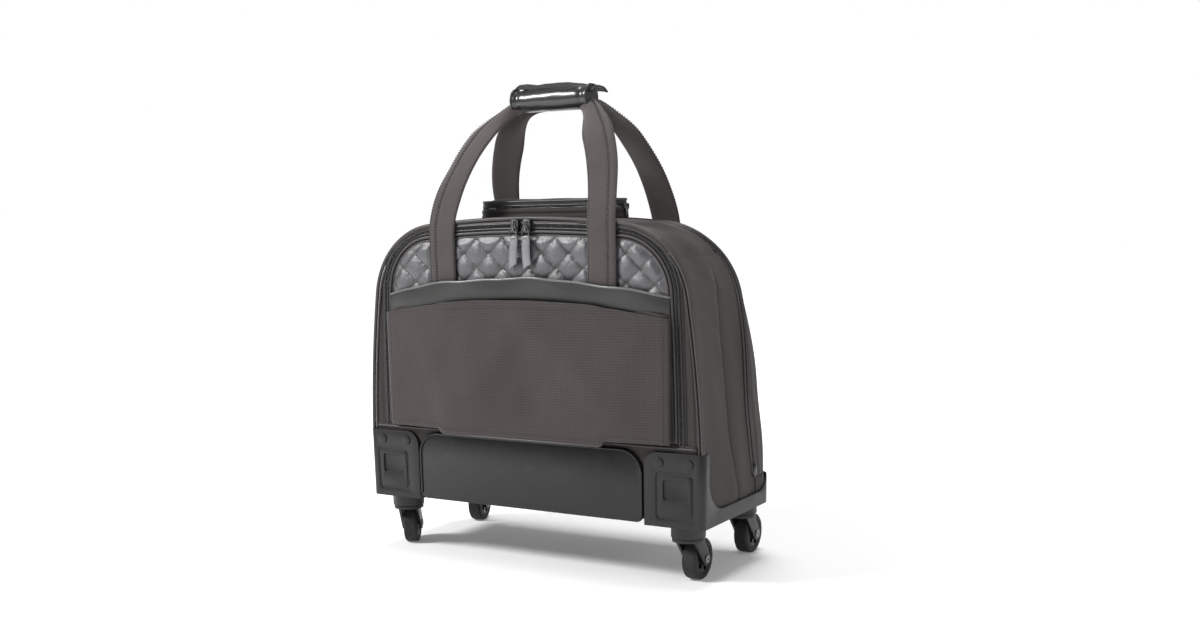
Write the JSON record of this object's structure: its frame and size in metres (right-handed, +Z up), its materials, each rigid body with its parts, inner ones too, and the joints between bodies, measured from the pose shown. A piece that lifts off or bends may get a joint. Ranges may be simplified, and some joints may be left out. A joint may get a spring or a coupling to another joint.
{
  "type": "rolling laptop case",
  "caption": "Soft rolling laptop tote on a moulded base with swivel casters, telescopic handle, zipped doors, trolley sleeve, quilted yoke and wrapped carrying straps.",
  "frame": {"origin": "on the floor, under the middle of the case's box", "axes": "+X to the right seen from the trolley sleeve side, +Y from the trolley sleeve side to the pocket side, +Z up"},
  "size_m": [0.43, 0.2135, 0.5234],
  "materials": {
    "body_fabric": "dense twill, matt with a slight sheen",
    "zip_tape": "woven zip tape",
    "lid_fabric": "dense twill",
    "lining": "plain lining",
    "quilt": "satin, quilted in diamonds",
    "piping": "smooth cord cover",
    "trim_leather": "semi-gloss",
    "patent_leather": "high gloss",
    "strap_fabric": "folded twill strap, stitched along its edge",
    "zip_coil": "moulded coil",
    "rail_plastic": "fine moulded texture",
    "kick_plastic": "satin gloss",
    "board": "stiffener board covered in fabric",
    "handle_plastic": "smooth moulded",
    "button_plastic": "gloss",
    "bush_plastic": "low-friction bush",
    "hub_plastic": "moulded",
    "tyre_rubber": "rubber tread",
    "axle_steel": "blackened steel rivet",
    "tube_aluminium": "anodised",
    "slider_metal": "dark nickel",
    "pull_tab": "metallic leather tab on a dark ring"
  },
  "bodies": {
    "root": {"body_gusset": "body_fabric", "base_board": "board", "rear_lower_panel": "body_fabric", "rear_zip_gusset": "zip_tape", "rear_zip_chain": "zip_coil", "front_zip_chain": "zip_coil", "rear_piping": "piping", "front_lower_panel": "body_fabric", "divider_panel": "lining", "side_rail_right": "rail_plastic", "side_rail_left": "rail_plastic", "rail_rivets": "rail_plastic", "kick_plate": "kick_plastic", "caster_bushes": "bush_plastic", "handle_outer_tubes": "tube_aluminium", "handle_bracket": "board", "handle_well": "handle_plastic", "tube_cover": "lining"},
    "handle_middle": {"handle_middle_tubes": "tube_aluminium"},
    "handle_inner": {"handle_inner_tubes": "tube_aluminium", "handle_grip": "handle_plastic"},
    "handle_button": {"handle_button": "button_plastic"},
    "handle_lid": {"handle_lid": "lid_fabric"},
    "lid_slider": {"lid_slider": "slider_metal"},
    "rear_door": {"laptop_door": "lining", "quilted_panel": "quilt", "slip_pocket": "body_fabric", "pocket_trim": "trim_leather", "trolley_sleeve": "body_fabric", "rear_strap_bases": "strap_fabric"},
    "rear_strap": {"rear_strap": "strap_fabric", "handle_wrap": "patent_leather"},
    "wrap_flap": {"wrap_flap": "patent_leather"},
    "front_door": {"front_door": "body_fabric", "front_pocket": "body_fabric", "front_pocket_zip": "zip_tape", "front_strap_bases": "strap_fabric"},
    "front_strap": {"front_strap": "strap_fabric"},
    "rear_slider_left": {"rear_slider_left": "slider_metal"},
    "rear_slider_right": {"rear_slider_right": "slider_metal"},
    "rear_pull_left": {"rear_pull_left": "pull_tab"},
    "rear_pull_right": {"rear_pull_right": "pull_tab"},
    "front_slider_left": {"front_slider_left": "slider_metal"},
    "front_slider_right": {"front_slider_right": "slider_metal"},
    "caster_rear_right": {"caster_fork_rear_right": "rail_plastic", "axle_rear_right": "axle_steel"},
    "wheel_rear_right": {"wheel_hub_rear_right": "hub_plastic", "tyre_rear_right": "tyre_rubber"},
    "caster_front_right": {"caster_fork_front_right": "rail_plastic", "axle_front_right": "axle_steel"},
    "wheel_front_right": {"wheel_hub_front_right": "hub_plastic", "tyre_front_right": "tyre_rubber"},
    "caster_rear_left": {"caster_fork_rear_left": "rail_plastic", "axle_rear_left": "axle_steel"},
    "wheel_rear_left": {"wheel_hub_rear_left": "hub_plastic", "tyre_rear_left": "tyre_rubber"},
    "caster_front_left": {"caster_fork_front_left": "rail_plastic", "axle_front_left": "axle_steel"},
    "wheel_front_left": {"wheel_hub_front_left": "hub_plastic", "tyre_front_left": "tyre_rubber"}
  },
  "joints": [
    {"name": "swivel_rear_right", "type": "hinge", "parent": "root", "child": "caster_rear_right", "pos_m": [0.1845, -0.067, 0], "axis": [0, 0, 1], "continuous": true},
    {"name": "roll_rear_right", "type": "hinge", "parent": "caster_rear_right", "child": "wheel_rear_right", "pos_m": [0.1845, -0.046, 0.0225], "axis": [1, 0, 0], "continuous": true},
    {"name": "swivel_front_right", "type": "hinge", "parent": "root", "child": "caster_front_right", "pos_m": [0.1845, 0.063, 0], "axis": [0, 0, 1], "continuous": true},
    {"name": "roll_front_right", "type": "hinge", "parent": "caster_front_right", "child": "wheel_front_right", "pos_m": [0.1845, 0.084, 0.0225], "axis": [1, 0, 0], "continuous": true},
    {"name": "swivel_rear_left", "type": "hinge", "parent": "root", "child": "caster_rear_left", "pos_m": [-0.1845, -0.067, 0], "axis": [0, 0, 1], "continuous": true},
    {"name": "roll_rear_left", "type": "hinge", "parent": "caster_rear_left", "child": "wheel_rear_left", "pos_m": [-0.195, -0.04881, 0.0225], "axis": [0.866, 0.5, 0], "continuous": true},
    {"name": "swivel_front_left", "type": "hinge", "parent": "root", "child": "caster_front_left", "pos_m": [-0.1845, 0.063, 0], "axis": [0, 0, 1], "continuous": true},
    {"name": "roll_front_left", "type": "hinge", "parent": "caster_front_left", "child": "wheel_front_left", "pos_m": [-0.18993, 0.08328, 0.0225], "axis": [0.9659, 0.2588, 0], "continuous": true},
    {"name": "handle_pull", "type": "slide", "parent": "root", "child": "handle_middle", "axis": [0, 0, 1], "range_m": [0, 0.262], "deforming": ["handle_lid", "rear_strap", "handle_wrap", "wrap_flap"]},
    {"name": "handle_inner_pull", "type": "slide", "parent": "handle_middle", "child": "handle_inner", "axis": [0, 0, 1], "range_m": [0, 0.262]},
    {"name": "button_press", "type": "slide", "parent": "handle_inner", "child": "handle_button", "axis": [0, 0, -1], "range_m": [0, 0.003], "stiffness_N_per_m": 200},
    {"name": "lid_hinge", "type": "hinge", "parent": "root", "child": "handle_lid", "pos_m": [0, -0.0027, 0.388], "axis": [-1, 0, 0], "range_deg": [0, 105]},
    {"name": "lid_slider_travel", "type": "hinge", "parent": "root", "child": "lid_slider", "pos_m": [0.0671, -0.024, 0.3875], "axis": [0, 0, 1], "range_deg": [-90, 35]},
    {"name": "rear_door_hinge", "type": "hinge", "parent": "root", "child": "rear_door", "pos_m": [0, -0.108, 0.148], "axis": [1, 0, 0], "range_deg": [0, 80]},
    {"name": "rear_strap_swing", "type": "hinge", "parent": "rear_door", "child": "rear_strap", "pos_m": [0, -0.0965, 0.366], "axis": [1, 0, 0], "range_deg": [0, 190]},
    {"name": "wrap_flap_hinge", "type": "hinge", "parent": "rear_strap", "child": "wrap_flap", "pos_m": [0, -0.024, 0.5131], "axis": [1, 0, 0], "range_deg": [0, 120]},
    {"name": "front_door_hinge", "type": "hinge", "parent": "root", "child": "front_door", "pos_m": [0, 0.086, 0.098], "axis": [-1, 0, 0], "range_deg": [0, 80]},
    {"name": "front_strap_swing", "type": "hinge", "parent": "front_door", "child": "front_strap", "pos_m": [0, 0.048, 0.345], "axis": [-1, 0, 0], "range_deg": [0, 150]},
    {"name": "rear_slider_left_travel", "type": "hinge", "parent": "rear_door", "child": "rear_slider_left", "pos_m": [0, -0.089, -1.172], "axis": [0, 1, 0], "range_deg": [-2.4, 0]},
    {"name": "rear_pull_left_swing", "type": "hinge", "parent": "rear_slider_left", "child": "rear_pull_left", "pos_m": [-0.004, -0.0962, 0.369], "axis": [-1, 0, 0], "range_deg": [-4, 150]},
    {"name": "rear_slider_right_travel", "type": "hinge", "parent": "rear_door", "child": "rear_slider_right", "pos_m": [0, -0.089, -1.172], "axis": [0, 1, 0], "range_deg": [0, 2.2]},
    {"name": "rear_pull_right_swing", "type": "hinge", "parent": "rear_slider_right", "child": "rear_pull_right", "pos_m": [0.011, -0.0962, 0.369], "axis": [-1, 0, 0], "range_deg": [-4, 150]},
    {"name": "front_slider_left_travel", "type": "hinge", "parent": "root", "child": "front_slider_left", "pos_m": [0, 0.005, -0.805], "axis": [0, 1, 0], "range_deg": [-2.9, 0]},
    {"name": "front_slider_right_travel", "type": "hinge", "parent": "root", "child": "front_slider_right", "pos_m": [0, 0.005, -0.805], "axis": [0, 1, 0], "range_deg": [0, 2.9]}
  ],
  "couplings": [
    {"joint": "handle_inner_pull", "follows": "handle_pull", "ratio": 1}
  ]
}
